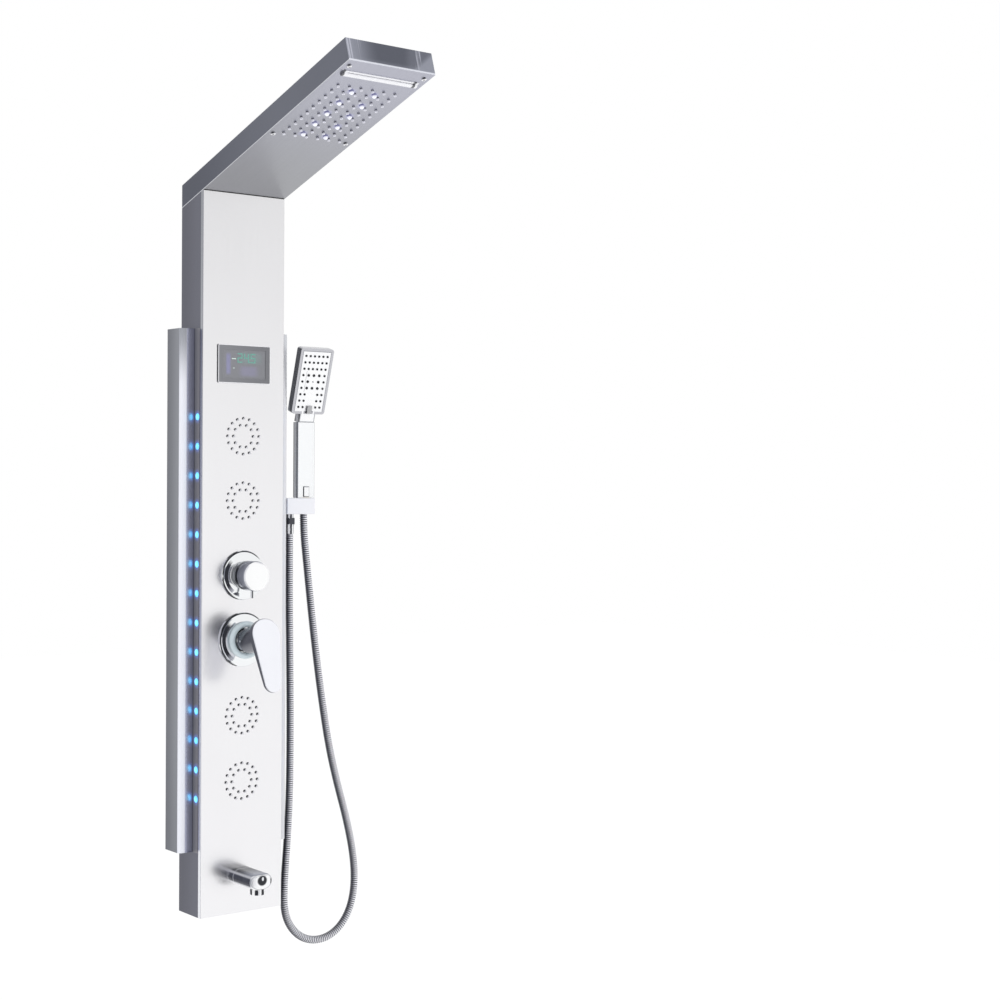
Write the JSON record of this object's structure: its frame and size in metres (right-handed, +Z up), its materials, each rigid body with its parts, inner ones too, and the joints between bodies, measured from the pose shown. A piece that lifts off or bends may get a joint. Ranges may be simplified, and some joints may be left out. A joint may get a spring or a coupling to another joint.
{
  "type": "shower panel column",
  "caption": "Wall-hung shower panel column with a sloping overhead rain and waterfall arm, body jets, mixer, diverter, display, lit side wings, tub spout and hand shower on a hose.",
  "frame": {"origin": "middle of the upper wall bracket's two screw holes, on the wall plane", "axes": "+Z up, +Y into the wall, +X to the right as seen from the front, where the hand shower hangs; the front faces -Y"},
  "size_m": [0.347, 0.4849, 1.4073],
  "materials": {
    "bezel": "satin silver",
    "bracket_steel": "plain",
    "brass": "plain",
    "brushed_case": "brushed",
    "chamber_plastic": "matt",
    "chrome": "polished",
    "chrome_plastic": "chrome plated",
    "circuit_board": "matt",
    "display_glass": "tinted",
    "face_plastic": "white",
    "hose_steel": "polished, ribbed",
    "led_lens": "frosted, lit",
    "lit_figures": "lit",
    "panel_steel": "satin",
    "pipe_steel": "drawn",
    "silicone": "matt",
    "silicone_light": "matt",
    "strip": "satin",
    "tab_plastic": "grey",
    "tinted_ring": "pale blue-green"
  },
  "bodies": {
    "column": {"arm_bracket": "bracket_steel", "arm_lamp_board": "circuit_board", "arm_lamp_lenses": "led_lens", "arm_screws": "bracket_steel", "arm_shell": "panel_steel", "column_case": "brushed_case", "display_bezel": "bezel", "display_board": "circuit_board", "display_digits": "lit_figures", "display_glass": "display_glass", "diverter_collar": "chrome", "diverter_escutcheon": "chrome", "diverter_valve": "brass", "front_panel": "panel_steel", "holder_block": "chrome_plastic", "hose": "hose_steel", "hose_ferrule": "chrome", "hose_nut": "chrome", "jet_chambers": "chamber_plastic", "jet_mat_1": "silicone", "jet_mat_2": "silicone", "jet_mat_3": "silicone", "jet_mat_4": "silicone", "led_boards": "circuit_board", "led_lenses": "led_lens", "led_strip_left": "strip", "led_strip_right": "strip", "mixer_escutcheon": "chrome", "mixer_ring": "tinted_ring", "mixer_sleeve": "chrome", "mixer_valve": "brass", "outlet_nipple": "brass", "plate_screws": "chrome", "rain_chamber": "chamber_plastic", "rain_nozzle_mat": "silicone", "spout_aerator": "chrome", "spout_body": "chrome", "spout_flange": "chrome", "spray_plate": "panel_steel", "turbine_housing": "chamber_plastic", "wall_brackets": "bracket_steel", "water_pipes": "pipe_steel", "waterfall_bar": "chrome", "waterfall_chamber": "chamber_plastic", "wing_left": "panel_steel", "wing_right": "panel_steel"},
    "diverter": {"diverter_stem": "brass", "diverter_knob": "chrome", "diverter_pointer": "chrome"},
    "mixer_turret": {"mixer_turret": "chrome"},
    "mixer_lever": {"mixer_lever": "chrome", "lever_pin": "bracket_steel"},
    "turbine": {"turbine_rotor": "chamber_plastic"},
    "handset": {"handset_shell": "chrome_plastic", "handset_face": "face_plastic", "handset_nozzle_mat": "silicone_light", "handset_plug": "brass"},
    "mode_tab": {"mode_tab": "tab_plastic"},
    "pause_button": {"pause_button": "face_plastic"}
  },
  "joints": [
    {"name": "diverter_turn", "type": "hinge", "parent": "column", "child": "diverter", "pos_m": [0, -0.07, -0.464], "axis": [0, 1, 0], "continuous": true},
    {"name": "mixer_turn", "type": "hinge", "parent": "column", "child": "mixer_turret", "pos_m": [0, -0.07, -0.568], "axis": [0, 1, 0], "range_deg": [-45, 45]},
    {"name": "mixer_lift", "type": "hinge", "parent": "mixer_turret", "child": "mixer_lever", "pos_m": [0, -0.096, -0.568], "axis": [-1, 0, 0], "range_deg": [0, 25]},
    {"name": "turbine_spin", "type": "hinge", "parent": "column", "child": "turbine", "pos_m": [0, -0.048, -0.516], "axis": [0, 1, 0], "continuous": true},
    {"name": "handset_lift", "type": "slide", "parent": "column", "child": "handset", "axis": [0, 0, 1], "range_m": [0, 0.03]},
    {"name": "mode_slide", "type": "slide", "parent": "handset", "child": "mode_tab", "axis": [1, 0, 0], "range_m": [-0.003, 0.003]},
    {"name": "pause_press", "type": "slide", "parent": "handset", "child": "pause_button", "axis": [0, 1, 0], "range_m": [0, 0.0012], "stiffness_N_per_m": 600}
  ]
}
